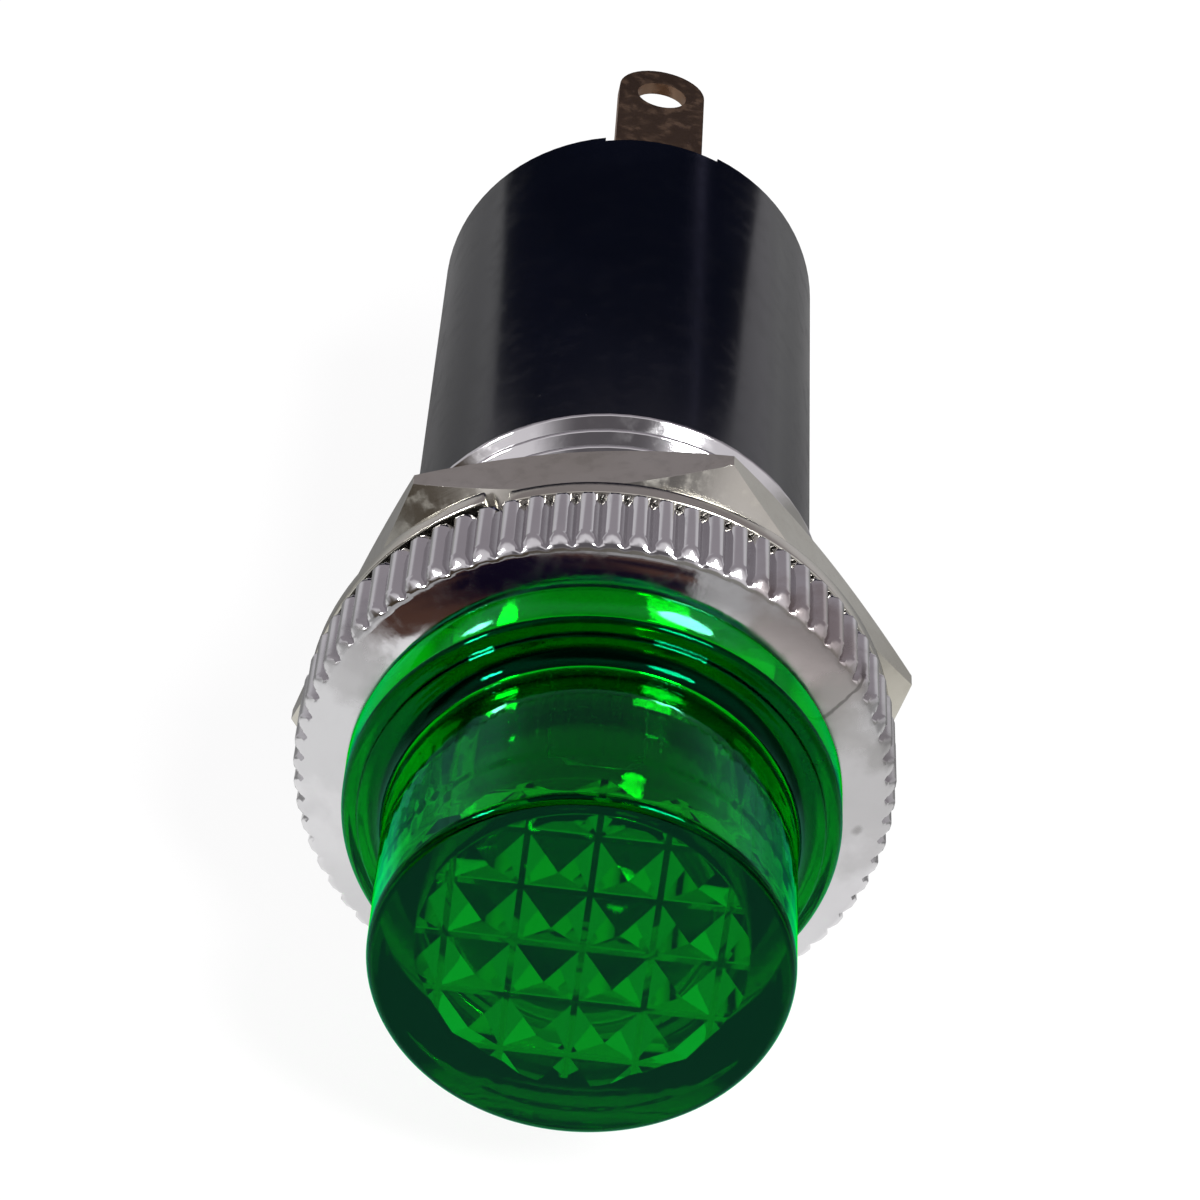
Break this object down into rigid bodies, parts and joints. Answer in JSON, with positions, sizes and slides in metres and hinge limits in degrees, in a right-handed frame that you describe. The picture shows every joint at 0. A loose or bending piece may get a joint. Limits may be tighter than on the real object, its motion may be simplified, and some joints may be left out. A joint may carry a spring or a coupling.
{
  "type": "panel pilot light",
  "caption": "Panel pilot light with a green prismatic lens cap, knurled bezel on a threaded barrel, lock washer, hex nut, black insulating tube, bayonet lamp and solder lugs.",
  "frame": {"origin": "centre of the annular face of the head that bears on the panel", "axes": "+Y along the light's axis from the lens to the solder lugs, through the panel; +Z towards the shell's solder lug; +X to the right seen from the front"},
  "size_m": [0.021, 0.0514, 0.0214],
  "materials": {
    "chrome_plate": "bright chrome plate on turned brass, slightly dirty",
    "nickel_plate": "dull nickel plate",
    "green_lens": "transparent deep green moulded acrylic",
    "black_phenolic": "black moulded phenolic, satin gloss",
    "brown_laminate": "paper laminate",
    "brass": "drawn brass",
    "lug_bronze": "darkened bronze strip",
    "spring_wire": "bright wire",
    "filament_wire": "drawn tungsten wire",
    "lamp_glass": "clear lamp glass",
    "black_glass": "black glass insulator",
    "solder": "soft solder"
  },
  "bodies": {
    "housing": {"bezel": "chrome_plate", "insulating_tube": "black_phenolic", "terminal_plate": "brown_laminate", "bayonet_shell": "brass", "stud_collar": "brown_laminate", "centre_stud": "brass", "shell_rivet": "brass", "shell_lug": "lug_bronze", "centre_lug": "lug_bronze", "contact_spring": "spring_wire"},
    "lens": {"lens_cap": "green_lens"},
    "washer": {"lock_washer": "nickel_plate"},
    "nut": {"hex_nut": "nickel_plate"},
    "lamp": {"lamp_envelope": "lamp_glass", "lamp_stem": "lamp_glass", "lamp_support_left": "spring_wire", "lamp_support_right": "spring_wire", "lamp_filament": "filament_wire", "lamp_base": "brass", "lamp_pin_left": "brass", "lamp_pin_right": "brass", "lamp_insulator": "black_glass", "lamp_tip": "solder"},
    "contact": {"contact_carrier": "brown_laminate", "centre_contact": "brass"}
  },
  "joints": [
    {"name": "lens_unscrew", "type": "slide", "parent": "housing", "child": "lens", "axis": [0, -1, 0], "range_m": [0, 0.02]},
    {"name": "washer_run", "type": "slide", "parent": "housing", "child": "washer", "axis": [0, 1, 0], "range_m": [0, 0.0053]},
    {"name": "nut_turn", "type": "hinge", "parent": "washer", "child": "nut", "pos_m": [0, 0, 0], "axis": [0, 1, 0], "range_deg": [0, 1800]},
    {"name": "lamp_push", "type": "slide", "parent": "housing", "child": "lamp", "axis": [0, 1, 0], "range_m": [0, 0.0011], "stiffness_N_per_m": 800, "springref_m": -0.004},
    {"name": "contact_press", "type": "slide", "parent": "housing", "child": "contact", "axis": [0, 1, 0], "range_m": [0, 0.0011], "deforming": ["contact_spring"]}
  ],
  "couplings": [
    {"joint": "washer_run", "follows": "nut_turn", "m_per_rad": 0.00016839},
    {"joint": "contact_press", "follows": "lamp_push", "ratio": 1}
  ]
}
